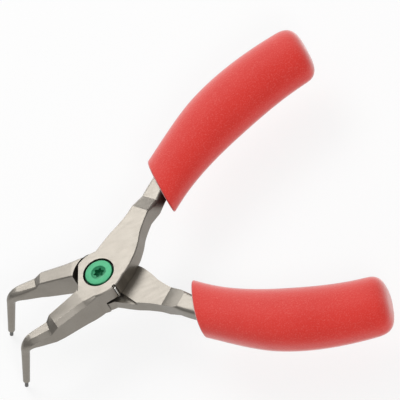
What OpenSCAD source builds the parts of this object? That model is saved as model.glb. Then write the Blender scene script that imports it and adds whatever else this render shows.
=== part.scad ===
// Bent-nose pliers for retaining rings: two crossing forged arms on one shouldered screw, held
// open by a wire spring. The frame lies at the middle of the screw's drive face: +Z along the
// pivot out of the screw head, +X along the centre line towards the handles, tips pointing down.
// The upper arm has its lap on top. Lengths are millimetres and angles are degrees.

/* [Joint] */
// Turn between the two arms from tips closed to the open rest position
rest_opening = 29; // [12:1:34]
// Radius of the round lap of each arm about the pivot
lap_r = 9.2; // [8.6:0.1:10]
// Thickness of each arm at the lap
lap_t = 5.4; // [5:0.1:6]
// Distance from the pivot to the flat on a lap's edge that faces the other jaw at rest
lap_flat = 7.4; // [7:0.1:9]
// Running gap between the two lap faces
lap_gap = 0.1; // [0.06:0.02:0.3]
// Gap between the edge of a lap and the shoulder of the other arm
shoulder_gap = 0.4; // [0.3:0.1:0.8]

/* [Pivot screw] */
// Radius of the screw head
head_r = 5; // [4.4:0.1:5.4]
// Height of the screw head
head_h = 1.8; // [1.4:0.1:2]
// Width of the ring left round the head in its counterbore
ring_gap = 0.65; // [0.4:0.05:0.9]
// Edge bevel of the head
head_bevel = 0.35; // [0.1:0.05:0.6]
// Radius of the dish in the middle of the head
dish_r = 2.7; // [2.4:0.1:3.4]
// Depth of the dish
dish_depth = 0.45; // [0.2:0.05:0.7]
// Radius over the lobes of the drive socket
drive_r = 1.97; // [1.6:0.01:2.2]
// Depth of the drive socket below the dish
drive_depth = 1.6; // [1:0.1:2.4]
// Thickness of the washer under the head
washer_t = 0.6; // [0.4:0.1:0.9]
// Radius of the plain shank that the upper arm turns on
shank_r = 3.2; // [2.9:0.1:3.5]
// Radius of the threaded end in the lower arm
thread_r = 2.5; // [2.2:0.1:2.8]
// Radial and axial running gap of the screw, its washer and its thread
screw_gap = 0.05; // [0.02:0.01:0.1]

/* [Return spring] */
// Diameter of the spring wire
wire_d = 0.9; // [0.7:0.05:1]
// Radius of the coil to the middle of the wire
coil_r = 5.2; // [4.9:0.1:5.6]
// Number of turns of the coil
coil_turns = 2; // [1:0.25:2.5]
// Gap round the wire in its pocket, slot and notch, and half of it in its hole
spring_gap = 0.2; // [0.1:0.05:0.3]
// Direction of the upright leg from the pivot at rest
leg_angle = -66; // [-74:1:-58]
// Height of the upright leg above the lap plane
leg_h = 4.4; // [2.5:0.1:4.6]
// Depth of the tail in the floor of the pocket
tail_h = 0.9; // [0.5:0.1:1]

/* [Arms] */
// Angle of each neck to the centre line with the tips closed
neck_deg = 30; // [26:1:32]
// Distance along the neck from the pivot to the mouth of the grip
mouth_d = 39.5; // [38:0.5:44]
// Distance along the neck at which the lap's ramp starts
ramp_start = 25.5; // [24:0.5:27]
// Distance along the neck at which the ramp meets the tang
ramp_end = 32; // [31:0.5:35]
// Width of the tang
tang_w = 7.2; // [6:0.1:8]
// Thickness of the tang
tang_t = 5.6; // [5:0.1:6.4]
// Length of the tang inside the grip
tang_len = 60; // [40:1:64]
// Reach of the bar to the handle's outer side at the pivot
web_outer = 6.6; // [6:0.1:7.2]
// Reach of the bar to the handle's inner side at the pivot
web_inner = 7; // [6.4:0.1:7.6]
// Reach of the neck to its outer side next to the lap
neck_outer = 5.4; // [4.6:0.1:6]
// Reach of the neck to its inner side next to the lap
neck_inner = 9; // [8:0.1:9.6]
// Reach of the neck to its outer side at the ramp
neck_end_outer = 2.7; // [2.2:0.1:3.2]
// Reach of the neck to its inner side at the ramp
neck_end_inner = 4.8; // [4:0.1:5.2]
// Distance of the closed jaw's middle from the centre line
jaw_off = 4.4; // [4:0.1:4.8]
// Radius of the bend from the lap into the jaw
knee_r = 10; // [8:0.5:12]
// Distance along the centre line from the pivot to the step of the jaw
step_x = 23.5; // [20:0.5:28]
// Width of the jaw where it leaves the lap
jaw_root_w = 7.2; // [6:0.1:7.6]
// Width of the jaw at its step
jaw_step_w = 6; // [5:0.1:6.4]
// Height of the jaw's back above the lap plane at its step
jaw_back = 3.2; // [2.8:0.1:4]
// Depth of the jaw's belly below the lap plane at its step
jaw_belly = 4.6; // [4:0.1:5.2]
// Bevel along the jaw's outer back edge
jaw_bevel = 1.5; // [0.8:0.1:1.8]
// Rounding of the forged edges
edge_r = 0.5; // [0.3:0.05:0.8]

/* [Noses] */
// Length of the nose from the step to its bend
nose_len = 8; // [6:0.5:12]
// Turn of the nose towards the centre line
nose_in_deg = 10; // [8:0.5:10]
// Width of the nose behind the step
nose_w = 4.8; // [4:0.1:5.2]
// Thickness of the nose behind the step
nose_t = 5.6; // [5:0.1:6.4]
// Drop of the nose from the step to its bend
nose_drop = 1; // [0.5:0.1:2]
// Radius of the bend along the middle of the nose
bend_r = 4.5; // [3.5:0.1:6]
// Angle of the bend
bend_deg = 69; // [60:1:90]
// Diameter of the nose as it leaves the bend
bend_d = 3.3; // [2.8:0.1:3.6]
// Diameter of the nose at its end
tip_d = 2.4; // [2.2:0.05:2.6]
// Length of the straight end of the nose below the bend
tip_len = 15.5; // [10:0.5:24]
// Diameter of the pin that enters the ring
pin_d = 1.3; // [1:0.05:1.5]
// Length of the pin outside the nose
pin_len = 2.8; // [2:0.1:4]
// Diameter of the pin's root inside the nose
pin_root_d = 0.9; // [0.7:0.05:0.95]
// Length of the pin's root inside the nose
pin_seat = 4; // [2:0.5:6]

/* [Grips] */
// Length of the grip along its middle
grip_len = 71.5; // [68:0.5:88]
// Radius of the bow of the handle along its middle
bow_r = 110; // [100:2:160]
// Width of the grip at its widest
grip_w = 22.5; // [18:0.5:24]
// Width of the grip at its mouth
grip_mouth_w = 18; // [15:0.5:19]
// Thickness of the grip at its thickest
grip_t = 15.5; // [13:0.5:17]
// Thickness of the grip at its mouth
grip_mouth_t = 12.5; // [11:0.5:14]
// Length of the rounded end of the grip
grip_end = 7.5; // [6:0.5:14]
// Slant of the grip's mouth, which starts nearer to the pivot on the handle's inner side
mouth_tilt = 36; // [0:1:38]
// Wall of the grip round its mouth
grip_wall = 1.7; // [1.2:0.1:2.4]
// Depth of the hollow behind the mouth
mouth_depth = 13; // [6:1:20]
// Gap between the tang and the grip
tang_gap = 0.1; // [0.05:0.05:0.3]

/* [Hidden] */
$fn = 64;

steel = [0.72, 0.70, 0.68];
red = [0.85, 0.34, 0.32];
green = [0.05, 0.62, 0.38];
black = [0.06, 0.06, 0.07];
dark_steel = [0.30, 0.30, 0.31];

// Cuts run this far past the face that they open
past = 1;
// Length over which the jaw steps down to the nose
step_run = 1.2;
// Width and thickness of a tang's free end against the rest of it
tang_end = 0.7;
// Distance behind the mouth at which its slant has faded out
slant_fade = 30;
// Half-width that the nose gains at the start of its bend, and its extra back and belly there
bend_gain = 0.15;
// Height by which the nose's belly behind the step is deeper than its middle
nose_sag = 0.8;
// Drop of the jaw's back and waist of its sides where it leaves the lap
root_drop = 0.2;
// Rounding of the nose at the start of its bend
nose_round = 1.3;
// Distances along the neck, from the lap and before the ramp, of its widest and its narrowing part
neck_near = 1;
neck_far = 6;
// Share of the neck's draw-in that is left for its last part, and as much before that
neck_share = 0.3;
// Rounding of the tang's edges
tang_round = 1.5;
// Shape of the grip's section and of its end: 2 is an ellipse, more is squarer
grip_power = 2.4;
end_power = 3.2;
// Width of the grip at its end, without the rounding, against its widest
grip_taper = 0.96;
// Radius at the lip of the grip's mouth
lip_r = 0.8;

bore_r = shank_r + screw_gap;
counterbore_r = head_r + ring_gap;
counterbore_depth = head_h + washer_t + screw_gap;
pocket_r = coil_r + wire_d / 2 + spring_gap;
pocket_core_r = coil_r - wire_d / 2 - spring_gap;
coil_pitch = wire_d + spring_gap / 2;
slot_depth = wire_d + 2 * spring_gap;
pocket_depth = slot_depth + coil_turns * coil_pitch;
leg_r = lap_r - wire_d / 4;

function rad(angle) = angle * PI / 180;
function unit(angle) = [cos(angle), sin(angle)];
function spread(a, b, n) = [for (i = [0 : n - 1]) a + (b - a) * i / n];

// Middle line of an arm, in the plane of the lap with the tips closed. It is walked from the
// pivot in legs of [length, turn]; a negative distance runs to the tip, a positive one to the
// handle's end. Each place is [x, y, heading].
knee_arc = knee_r * rad(neck_deg);
knee_d = (jaw_off - knee_r * (1 - cos(neck_deg))) / sin(neck_deg);
knee_x = knee_d * cos(neck_deg) + knee_r * sin(neck_deg);
root_d = knee_d + knee_arc;
step_d = root_d + step_x - knee_x;
bend_start = step_d + nose_len;
bend_end = bend_start + bend_r * rad(bend_deg);
nose_end = bend_end + tip_len;
tang_d = mouth_d + tang_len;
grip_end_d = mouth_d + grip_len;

jaw_legs = [
    [knee_d, 0], [knee_arc, -neck_deg], [step_x - knee_x, 0], [step_run, -nose_in_deg],
    [nose_len - step_run, 0]
];
handle_legs = [[mouth_d, 0], [2 * grip_len, -2 * grip_len / bow_r * 180 / PI]];

function move(place, leg, s) =
    let (h = place[2], turned = h + leg[1] * s / leg[0], r = leg[1] == 0 ? 0 : leg[0] / rad(leg[1]))
    leg[1] == 0
        ? [place[0] + s * cos(h), place[1] + s * sin(h), h]
        : [place[0] + r * (sin(turned) - sin(h)), place[1] - r * (cos(turned) - cos(h)), turned];
function walk(place, legs, s, i = 0) =
    s <= legs[i][0] || i == len(legs) - 1
        ? move(place, legs[i], s)
        : walk(move(place, legs[i], legs[i][0]), legs, s - legs[i][0], i + 1);
function place_at(d) =
    d < 0
        ? walk([0, 0, 180 + neck_deg], jaw_legs, min(-d, bend_start))
        : walk([0, 0, neck_deg], handle_legs, d);

// Axes of the section at a distance along the arm: [origin, sideways, up]. Sideways points to
// the handle's outer side, which is the jaw's inner side. Past the bend, up turns outwards.
function section_axes(d) =
    let (
        p = place_at(d),
        along = unit(p[2]),
        side = d < 0 ? unit(p[2] - 90) : unit(p[2] + 90),
        bent = min(max(-d - bend_start, 0) / bend_r * 180 / PI, bend_deg),
        straight = max(-d - bend_end, 0),
        out = bend_r * sin(bent) + straight * cos(bent),
        down = bend_r * (1 - cos(bent)) + straight * sin(bent),
        z = -nose_drop * max(0, min(1, (-d - step_d) / nose_len))
    )
    [
        [p[0] + out * along[0], p[1] + out * along[1], z - down],
        [side[0], side[1], 0],
        [sin(bent) * along[0], sin(bent) * along[1], cos(bent)]
    ];

// A smooth curve through [distance, value] keys
function key_slope(k, i) =
    i == 0 || i == len(k) - 1 ? 0 : (k[i + 1][1] - k[i - 1][1]) / (k[i + 1][0] - k[i - 1][0]);
function key_curve(k, d) =
    d <= k[0][0] ? k[0][1] : d >= k[len(k) - 1][0] ? k[len(k) - 1][1] :
    let (
        i = max([for (j = [0 : len(k) - 2]) if (k[j][0] <= d) j]),
        w = k[i + 1][0] - k[i][0],
        t = (d - k[i][0]) / w
    )
    (1 + 2 * t) * (1 - t) * (1 - t) * k[i][1] + t * t * (3 - 2 * t) * k[i + 1][1]
        + w * t * (1 - t) * ((1 - t) * key_slope(k, i) - t * key_slope(k, i + 1));

// Half-widths of the bar to each side. The neck is a swept blade: its outer edge draws in
// early and its inner edge runs full before it meets the tang.
nose_keys = [
    [-nose_end, tip_d / 2], [-bend_end, bend_d / 2], [-bend_start, bend_d / 2 + bend_gain],
    [-step_d - step_run, nose_w / 2], [-step_d, jaw_step_w / 2], [-root_d, jaw_root_w / 2]
];
tang_keys = [
    [ramp_end, tang_w / 2], [mouth_d, tang_w / 2], [tang_d - tang_w, tang_w / 2],
    [tang_d, tang_end * tang_w / 2]
];
function side_keys(web, neck, neck_end) = concat(nose_keys, [
    [-knee_d, (web + jaw_root_w / 2) / 2 - root_drop], [0, web], [lap_r + neck_near, neck],
    [lap_r + neck_far, neck - (neck - neck_end) * neck_share],
    [ramp_start - neck_far, neck_end + (neck - neck_end) * neck_share], [ramp_start, neck_end]
], tang_keys);
outer_keys = side_keys(web_outer, neck_outer, neck_end_outer);
inner_keys = side_keys(web_inner, neck_inner, neck_end_inner);
function lap_half(d) = abs(d) < lap_r ? sqrt(lap_r * lap_r - d * d) : 0;

// Back and belly of the bar along its length; lap_top and lap_foot are its faces at the lap
function back_keys(lap_top) = [
    [-nose_end, tip_d / 2], [-bend_end, bend_d / 2], [-bend_start, bend_d / 2 + bend_gain],
    [-step_d - step_run, nose_t / 2 - nose_sag], [-step_d, jaw_back], [-root_d, lap_t - root_drop],
    [-knee_d, lap_t], [0, lap_top], [ramp_start, lap_top], [ramp_end, tang_t / 2],
    [tang_d - tang_w, tang_t / 2], [tang_d, tang_end * tang_t / 2]
];
function belly_keys(lap_foot) = [
    [-nose_end, tip_d / 2], [-bend_end, bend_d / 2], [-bend_start, bend_d / 2 + bend_gain],
    [-step_d - step_run, nose_t / 2 + nose_sag], [-step_d, jaw_belly], [-root_d, lap_t],
    [-knee_d, lap_t], [0, lap_foot], [ramp_start, lap_foot], [ramp_end, tang_t / 2],
    [tang_d - tang_w, tang_t / 2], [tang_d, tang_end * tang_t / 2]
];
round_keys = [
    [-nose_end, tip_d / 2], [-bend_end, bend_d / 2], [-bend_start, nose_round], [-step_d, edge_r],
    [ramp_start, edge_r], [ramp_end, tang_round], [tang_d, tang_round]
];
bevel_keys = [
    [-nose_end, tip_d / 2], [-bend_end, bend_d / 2], [-bend_start, nose_round],
    [-step_d, jaw_bevel], [-root_d, jaw_bevel], [-knee_d, edge_r], [ramp_start, edge_r],
    [ramp_end, tang_round], [tang_d, tang_round]
];
// The bevel is a flat along the jaw and turns round along the bend
flat_keys = [[-bend_end, 0], [-bend_start, 1], [-root_d, 1], [-knee_d, 0]];

// One corner of a section, in corner_steps parts: a quarter turn of radius r about its centre,
// drawn towards its chord by flat
corner_steps = 3;
function corner(u, v, r, from, flat = 0) =
    [for (i = [0 : corner_steps])
        let (t = i / corner_steps, chord = (1 - t) * unit(from) + t * unit(from + 90))
        [u, v] + r * ((1 - flat) * unit(from + 90 * t) + flat * chord)];

// Section of the bar, grown by room on every side, as points in space
function bar_section(d, lap_top, lap_foot, room) =
    let (
        axes = section_axes(d),
        outer = max(key_curve(outer_keys, d), lap_half(d)) + room,
        inner = max(key_curve(inner_keys, d), lap_half(d)) + room,
        back = lookup(d, back_keys(lap_top)) + room,
        belly = lookup(d, belly_keys(lap_foot)) + room,
        most = min(outer, inner, (back + belly) / 2),
        r = min(lookup(d, round_keys), most),
        b = min(lookup(d, bevel_keys), most),
        flat = concat(
            corner(outer - r, back - r, r, 0),
            corner(b - inner, back - b, b, 90, lookup(d, flat_keys)),
            corner(r - inner, r - belly, r, 180), corner(outer - r, r - belly, r, 270)
        )
    )
    [for (p = flat) axes[0] + p[0] * axes[1] + p[1] * axes[2]];

// A closed skin over rings of points
module skin(rings) {
    n = len(rings[0]);
    last = len(rings) - 1;
    polyhedron(
        points = [for (ring = rings) each ring],
        faces = concat(
            [[for (j = [0 : n - 1]) j], [for (j = [n - 1 : -1 : 0]) last * n + j]],
            [for (i = [0 : last - 1], j = [0 : n - 1])
                let (k = (j + 1) % n) [i * n + j, (i + 1) * n + j, (i + 1) * n + k, i * n + k]]
        ),
        convexity = 6
    );
}

tang_stations = concat(spread(mouth_d, tang_d - tang_w, 8), [tang_d - tang_w, tang_d]);
arm_stations = concat(
    spread(-nose_end, -bend_end, 4), spread(-bend_end, -bend_start, 9),
    spread(-bend_start, -step_d - step_run, 3), [-step_d - step_run, -step_d],
    spread(-step_d + 2 * past, -root_d, 3), spread(-root_d, -lap_r, 2),
    [for (a = [170 : -10 : 10]) lap_r * cos(a)], spread(lap_r, ramp_start, 9),
    spread(ramp_start, ramp_end, 4), spread(ramp_end, mouth_d, 2), tang_stations
);

module arm_bar(lap_top, lap_foot) {
    skin([for (d = arm_stations) bar_section(d, lap_top, lap_foot, 0)]);
}

// Room for the other arm's lap, under an upper arm: round at the jaw, with a ramp at the tang
module lap_room() {
    deep = 3 * lap_t;
    wide = 4 * lap_r;
    face = lap_gap / 2;
    translate([0, 0, -deep]) cylinder(r = lap_r + shoulder_gap, h = deep + face);
    rotate([90, 0, neck_deg]) linear_extrude(height = wide, center = true)
        polygon([
            [0, -deep], [0, face], [ramp_start, face], [ramp_end, -tang_t / 2 - past],
            [ramp_end, -deep]
        ]);
}

// The edge of a lap outside its flat, which faces the other jaw at rest
module lap_edge() {
    rotate([0, 0, 180 - rest_opening]) linear_extrude(height = 4 * lap_t, center = true)
        intersection() {
            circle(r = lap_r + shoulder_gap);
            translate([lap_flat, -lap_r]) square(2 * lap_r);
        }
}

// Pin in the end of a nose, along the nose's last straight, and the hole for its root
module at_tip() {
    translate(section_axes(-nose_end)[0])
        rotate([0, 90 + bend_deg, place_at(-nose_end)[2]]) children();
}
module tip_pin() {
    at_tip() rotate_extrude() polygon([
        [0, -pin_seat], [pin_root_d / 2, -pin_seat], [pin_root_d / 2, 0], [pin_d / 2, 0],
        [pin_d / 2, pin_len], [0, pin_len]
    ]);
}
module tip_hole() {
    at_tip() translate([0, 0, -pin_seat]) cylinder(d = pin_root_d, h = pin_seat + past);
}

// Places of the arms in the frame, each turned by half the rest opening. Inside them the lap
// plane is at zero height and the tips are closed.
module on_lap_plane() { translate([0, 0, -lap_t]) children(); }
module upper_place() { on_lap_plane() rotate([0, 0, rest_opening / 2]) children(); }
module lower_place() {
    on_lap_plane() rotate([0, 0, -rest_opening / 2]) mirror([0, 1, 0]) children();
}

module upper_arm() {
    color(steel) upper_place() difference() {
        arm_bar(lap_t, tang_t / 2);
        lap_room();
        translate([0, 0, -past]) cylinder(r = bore_r, h = lap_t + 2 * past);
        translate([0, 0, lap_t - counterbore_depth])
            cylinder(r = counterbore_r, h = counterbore_depth + past);
        rotate([0, 0, leg_angle - rest_opening / 2]) translate([leg_r, 0, -past])
            cylinder(d = wire_d + 2 * spring_gap, h = lap_t + 2 * past);
        lap_edge();
        tip_hole();
    }
}

module lower_arm() {
    color(steel) difference() {
        lower_place() difference() {
            arm_bar(tang_t / 2, lap_t);
            mirror([0, 0, 1]) lap_room();
            translate([0, 0, -lap_t - past]) cylinder(r = thread_r + screw_gap, h = 2 * lap_t);
            lap_edge();
            tip_hole();
        }
        on_lap_plane() spring_room();
    }
}

// Angle round the pivot between where a leg leaves the coil and where it is r from the pivot
function leg_lead(r) = acos(coil_r / r);
leg_height = -lap_gap / 2 - spring_gap - wire_d / 2;
coil_end = leg_angle - leg_lead(leg_r);
coil_start = coil_end - 360 * coil_turns;
coil_low = leg_height - coil_turns * coil_pitch;

// Pocket for the coil, a hole for its tail and the slot that its leg swings in
module spring_room() {
    floor_z = -lap_gap / 2 - pocket_depth;
    wire_angle = asin((wire_d / 2 + spring_gap) / pocket_r);
    slot_from = coil_end + leg_lead(pocket_r) - wire_angle - rest_opening;
    slot_to = leg_angle + wire_angle;
    translate([0, 0, floor_z]) linear_extrude(height = pocket_depth + past) difference() {
        circle(r = pocket_r);
        circle(r = pocket_core_r);
    }
    translate([0, 0, -lap_gap / 2 - slot_depth]) linear_extrude(height = slot_depth + past)
        difference() {
            polygon(concat([[0, 0]], [for (i = [0 : 6])
                2 * lap_r * unit(slot_from + (slot_to - slot_from) * i / 6)]));
            circle(r = pocket_core_r);
        }
    rotate([0, 0, coil_start]) translate([coil_r, 0, floor_z - tail_h])
        cylinder(d = wire_d + spring_gap, h = tail_h + past);
}

// Middle line of the spring: tail, coil, straight leg along the coil's tangent, upright end
wire_sides = 10;
turn_steps = 20;
wire_bend = wire_d;
function coil_point(a) =
    [coil_r * cos(a), coil_r * sin(a), coil_low + (a - coil_start) / 360 * coil_pitch];
function leg_point(s) =
    let (at = coil_point(coil_end), way = unit(coil_end + 90))
    [at[0] + s * way[0], at[1] + s * way[1], leg_height];
leg_run = sqrt(leg_r * leg_r - coil_r * coil_r);
function wire_path() =
    let (n = ceil(coil_turns * turn_steps), foot = coil_point(coil_start), top = leg_point(leg_run))
    concat(
        [[foot[0], foot[1], foot[2] - tail_h], [foot[0], foot[1], foot[2] - wire_d / 2]],
        [for (i = [1 : n]) coil_point(coil_start + (coil_end - coil_start) * i / n)],
        [leg_point(leg_run - wire_bend), leg_point(leg_run - wire_bend / 3)],
        [[top[0], top[1], leg_height + wire_bend / 2], [top[0], top[1], leg_h]]
    );

function wire_ring(path, i) =
    let (
        way = path[min(i + 1, len(path) - 1)] - path[max(i - 1, 0)],
        t = way / norm(way),
        out = [path[i][0], path[i][1], 0],
        square = out - (out * t) * t,
        u = square / norm(square),
        v = cross(t, u)
    )
    [for (j = [0 : wire_sides - 1])
        let (q = wire_d / 2 * unit(360 * j / wire_sides)) path[i] + q[0] * u + q[1] * v];

module return_spring() {
    path = wire_path();
    color(steel) on_lap_plane() skin([for (i = [0 : len(path) - 1]) wire_ring(path, i)]);
}

// Six-lobed drive socket, as a plan
lobe_r = 0.21 * drive_r;
valley_r = 0.3 * drive_r;
module drive_star() {
    difference() {
        union() {
            circle(r = drive_r - lobe_r);
            for (a = [0 : 60 : 300]) rotate(a) translate([drive_r - lobe_r, 0]) circle(r = lobe_r);
        }
        for (a = [30 : 60 : 330]) rotate(a) translate([drive_r, 0]) circle(r = valley_r);
    }
}

module pivot_screw() {
    seat_z = -lap_t - lap_gap / 2;
    end_z = -2 * lap_t + edge_r;
    color(green) difference() {
        rotate_extrude() polygon([
            [0, -dish_depth], [dish_r, 0], [head_r - head_bevel, 0], [head_r, -head_bevel],
            [head_r, -head_h], [shank_r, -head_h], [shank_r, seat_z], [thread_r, seat_z],
            [thread_r, end_z], [0, end_z]
        ]);
        translate([0, 0, -dish_depth - drive_depth])
            linear_extrude(height = dish_depth + drive_depth + past) drive_star();
    }
}

module head_washer() {
    color(black) translate([0, 0, -head_h - washer_t]) difference() {
        cylinder(r = counterbore_r - screw_gap, h = washer_t);
        translate([0, 0, -past]) cylinder(r = shank_r + screw_gap, h = washer_t + 2 * past);
    }
}

// Grip: a soft sleeve lofted along the bowed handle, with a round end and a hollow mouth
grip_sides = 28;
widest_d = mouth_d + grip_len / 2;
round_from = grip_end_d - grip_end;
grip_w_keys = [
    [mouth_d, grip_mouth_w / 2], [widest_d, grip_w / 2], [grip_end_d, grip_taper * grip_w / 2]
];
grip_t_keys = [
    [mouth_d, grip_mouth_t / 2], [widest_d, grip_t / 2], [grip_end_d, grip_taper * grip_t / 2]
];
function end_round(d) =
    let (t = max(0, d - round_from) / grip_end) pow(max(0, 1 - pow(t, end_power)), 1 / end_power);
function lip_in(d) =
    let (t = min(1, (d - mouth_d) / lip_r)) lip_r * (1 - sqrt(1 - (1 - t) * (1 - t)));
function slant(d) = tan(mouth_tilt) * max(0, min(1, 1 - (d - mouth_d) / slant_fade));
function oval(d, half_w, half_t) =
    [for (j = [0 : grip_sides - 1])
        let (
            q = unit(360 * j / grip_sides),
            u = half_w * sign(q[0]) * pow(abs(q[0]), 2 / grip_power),
            v = half_t * sign(q[1]) * pow(abs(q[1]), 2 / grip_power),
            axes = section_axes(d + u * slant(d))
        )
        axes[0] + u * axes[1] + v * axes[2]];
function grip_ring(d) =
    oval(
        d, key_curve(grip_w_keys, d) * end_round(d) - lip_in(d),
        key_curve(grip_t_keys, d) * end_round(d) - lip_in(d)
    );
grip_stations = concat(
    [mouth_d, mouth_d + lip_r / 3, mouth_d + lip_r], spread(mouth_d + 4 * lip_r, round_from, 12),
    [for (a = [0 : 10 : 80]) round_from + grip_end * sin(a)]
);

module grip() {
    hollow = mouth_d + mouth_depth;
    difference() {
        skin([for (d = grip_stations) grip_ring(d)]);
        skin([for (d = concat([mouth_d - past], tang_stations, [tang_d + tang_gap]))
            bar_section(d, lap_t, lap_t, tang_gap)]);
        skin([
            oval(mouth_d - past, grip_mouth_w / 2 - grip_wall, grip_mouth_t / 2 - grip_wall),
            oval(mouth_d + mouth_depth / 3, grip_mouth_w / 2 - grip_wall, grip_mouth_t / 2 - grip_wall),
            oval(hollow, tang_w / 2, tang_t / 2)
        ]);
    }
}

module upper_grip() { color(red) upper_place() grip(); }
module lower_grip() { color(red) lower_place() grip(); }
module upper_tip_pin() { color(dark_steel) upper_place() tip_pin(); }
module lower_tip_pin() { color(dark_steel) lower_place() tip_pin(); }

upper_arm();
lower_arm();
upper_grip();
lower_grip();
upper_tip_pin();
lower_tip_pin();
pivot_screw();
head_washer();
return_spring();
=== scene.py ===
"""Bent-nose pliers for retaining rings: fine meshes, finishes, floor, light and camera.

Shapes are worked out in millimetres in the part's own terms and scaled to metres at the end. An
arm is drawn with its lap plane at zero height and the tips closed, then turned to its rest place.
"""

import math

import bmesh
import bpy
import numpy as np
from mathutils import Matrix, Vector


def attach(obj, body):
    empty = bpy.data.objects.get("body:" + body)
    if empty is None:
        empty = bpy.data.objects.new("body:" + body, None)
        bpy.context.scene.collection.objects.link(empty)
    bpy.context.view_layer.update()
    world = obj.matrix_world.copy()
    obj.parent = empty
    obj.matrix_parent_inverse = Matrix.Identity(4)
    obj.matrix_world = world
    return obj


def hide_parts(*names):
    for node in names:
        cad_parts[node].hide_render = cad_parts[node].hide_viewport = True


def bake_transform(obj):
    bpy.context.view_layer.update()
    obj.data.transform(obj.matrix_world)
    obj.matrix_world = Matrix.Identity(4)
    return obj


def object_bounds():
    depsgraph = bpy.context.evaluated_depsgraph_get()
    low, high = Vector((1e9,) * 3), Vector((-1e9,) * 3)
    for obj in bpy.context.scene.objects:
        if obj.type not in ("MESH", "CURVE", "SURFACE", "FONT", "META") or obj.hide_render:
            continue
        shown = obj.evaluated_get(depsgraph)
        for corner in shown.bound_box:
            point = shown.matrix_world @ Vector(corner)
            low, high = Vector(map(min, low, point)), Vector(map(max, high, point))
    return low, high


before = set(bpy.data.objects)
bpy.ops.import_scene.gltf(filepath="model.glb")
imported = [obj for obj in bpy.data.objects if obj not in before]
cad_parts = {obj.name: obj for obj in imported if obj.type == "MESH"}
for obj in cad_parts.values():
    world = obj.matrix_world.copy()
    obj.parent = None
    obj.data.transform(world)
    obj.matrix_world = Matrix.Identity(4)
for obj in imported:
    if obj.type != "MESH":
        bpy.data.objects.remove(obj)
cad_low, cad_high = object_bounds()

MM = 0.001

# Joint
REST_OPENING = 29.0
LAP_R = 9.2
LAP_T = 5.4
LAP_FLAT = 7.4
LAP_GAP = 0.1
SHOULDER_GAP = 0.4

# Pivot screw and washer: the drive is a lobed socket in a dish, AXIS_R closes a lathed end
HEAD_R = 5.0
HEAD_H = 1.8
RING_GAP = 0.65
HEAD_BEVEL = 0.35
DISH_R = 2.7
DISH_DEPTH = 0.45
DISH_RIM = 0.1
DRIVE_R = 1.97
DRIVE_DEPTH = 1.6
DRIVE_LOBES = 6
DRIVE_WAVE = 0.15
DRIVE_BEVEL = 0.08
DRIVE_BEVEL_H = 0.1
DRIVE_POINT = 0.4
WASHER_T = 0.6
WASHER_SOFT = 0.1
SHANK_R = 3.2
THREAD_R = 2.5
THREAD_CHAMFER = 0.3
AXIS_R = 0.02
SCREW_GAP = 0.05

# Return spring: the coil leads into a leg that bends upright, its tail hangs down
WIRE_D = 0.9
COIL_R = 5.2
COIL_TURNS = 2
SPRING_GAP = 0.2
LEG_ANGLE = -66.0
LEG_H = 4.4
LEG_BEND_R = 0.8 * WIRE_D
LEG_LEAD = 0.3
LEG_RISE = 1.5
TAIL_H = 0.9

# Arms: the ramp ends the room for the other lap, the heel takes the outer face down to the tang
# and the hip is the inner edge beside the lap
NECK_DEG = 30.0
MOUTH_D = 39.5
RAMP_START = 25.5
RAMP_END = 36.0
HEEL_START = 27.5
HEEL_END = 33.5
TANG_W = 7.2
TANG_T = 5.6
TANG_LEN = 60.0
WEB_OUTER = 6.6
WEB_INNER = 7.0
NECK_OUTER = 5.4
NECK_INNER = 9.0
HIP_D = 2.5
HIP_INNER = 9.2
NECK_END_OUTER = 2.7
NECK_END_INNER = 4.8
JAW_OFF = 4.4
KNEE_R = 10.0
STEP_X = 23.5
JAW_ROOT_W = 7.2
JAW_STEP_W = 6.0
JAW_BACK = 3.8
JAW_BELLY = 4.6
JAW_BEVEL = 1.5
EDGE_R = 0.5

# Noses and tip pins
NOSE_LEN = 8.0
NOSE_IN_DEG = 10.0
NOSE_W = 5.4
NOSE_T = 5.6
NOSE_DROP = 1.0
BEND_R = 4.5
BEND_DEG = 69.0
BEND_D = 3.0
TIP_D = 2.4
TIP_LEN = 15.5
PIN_D = 1.3
PIN_LEN = 2.8
PIN_CHAMFER = 0.12
PIN_ROOT_D = 0.9
PIN_SEAT = 4.0

# Grips
GRIP_LEN = 71.5
BOW_R = 110.0
GRIP_W = 22.5
GRIP_MOUTH_W = 18.0
GRIP_T = 15.5
GRIP_MOUTH_T = 12.5
GRIP_END = 7.5
MOUTH_TILT = 36.0
GRIP_WALL = 1.7
MOUTH_DEPTH = 13.0
HOLLOW_EVEN = 1 / 3
HOLE_START = 0.5
TANG_GAP = 0.1

# Smaller values: cutters run PAST what they cut, gains thicken the nose at its bend, powers shape
# a grip's oval and its end
PAST = 1.0
STEP_RUN = 1.2
TANG_END = 0.7
SLANT_FADE = 30.0
BEND_GAIN = 1.0
BELLY_GAIN = 0.7
STEP_EARLY = 1.4
NOSE_SAG = 0.8
NOSE_BELLY = 4.4
ROOT_DROP = 0.2
NOSE_ROUND = 1.6
NECK_NEAR = 1.0
NECK_FAR = 6.0
NECK_SHARE = 0.3
TANG_ROUND = 1.5
GRIP_POWER = 2.4
END_POWER = 3.2
GRIP_TAPER = 0.96
LIP_R = 0.8
INNER_LIP = LIP_R / 3

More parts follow.
